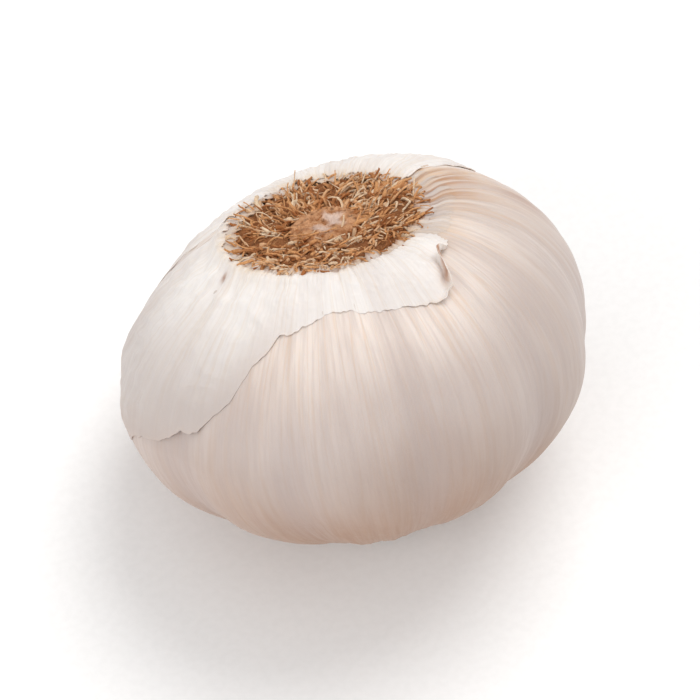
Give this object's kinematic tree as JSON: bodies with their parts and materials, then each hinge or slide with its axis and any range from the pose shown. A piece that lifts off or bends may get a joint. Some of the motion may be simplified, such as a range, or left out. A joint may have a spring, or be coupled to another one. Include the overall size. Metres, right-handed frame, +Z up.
{
  "type": "garlic bulb",
  "caption": "Whole garlic bulb lying on its side, root plate turned up, with torn papery outer skin, matted root stumps and a trimmed neck.",
  "frame": {"origin": "middle of the bulb's footprint, on the surface it lies on", "axes": "+Z up; the bulb's own axis leans from +Z towards +Y, so the roots face up and +Y and the neck faces down and -Y; +X across the bulb"},
  "size_m": [0.0598, 0.0554, 0.0463],
  "materials": {
    "inner_skin": "satin",
    "outer_skin": "matte",
    "root_cork": "matte",
    "root_fibre": "matte"
  },
  "bodies": {
    "root": {"bulb_body": "inner_skin", "root_plate": "root_cork", "root_beard": "root_fibre", "outer_skin_front": "outer_skin", "outer_skin_back": "outer_skin"}
  },
  "joints": []
}
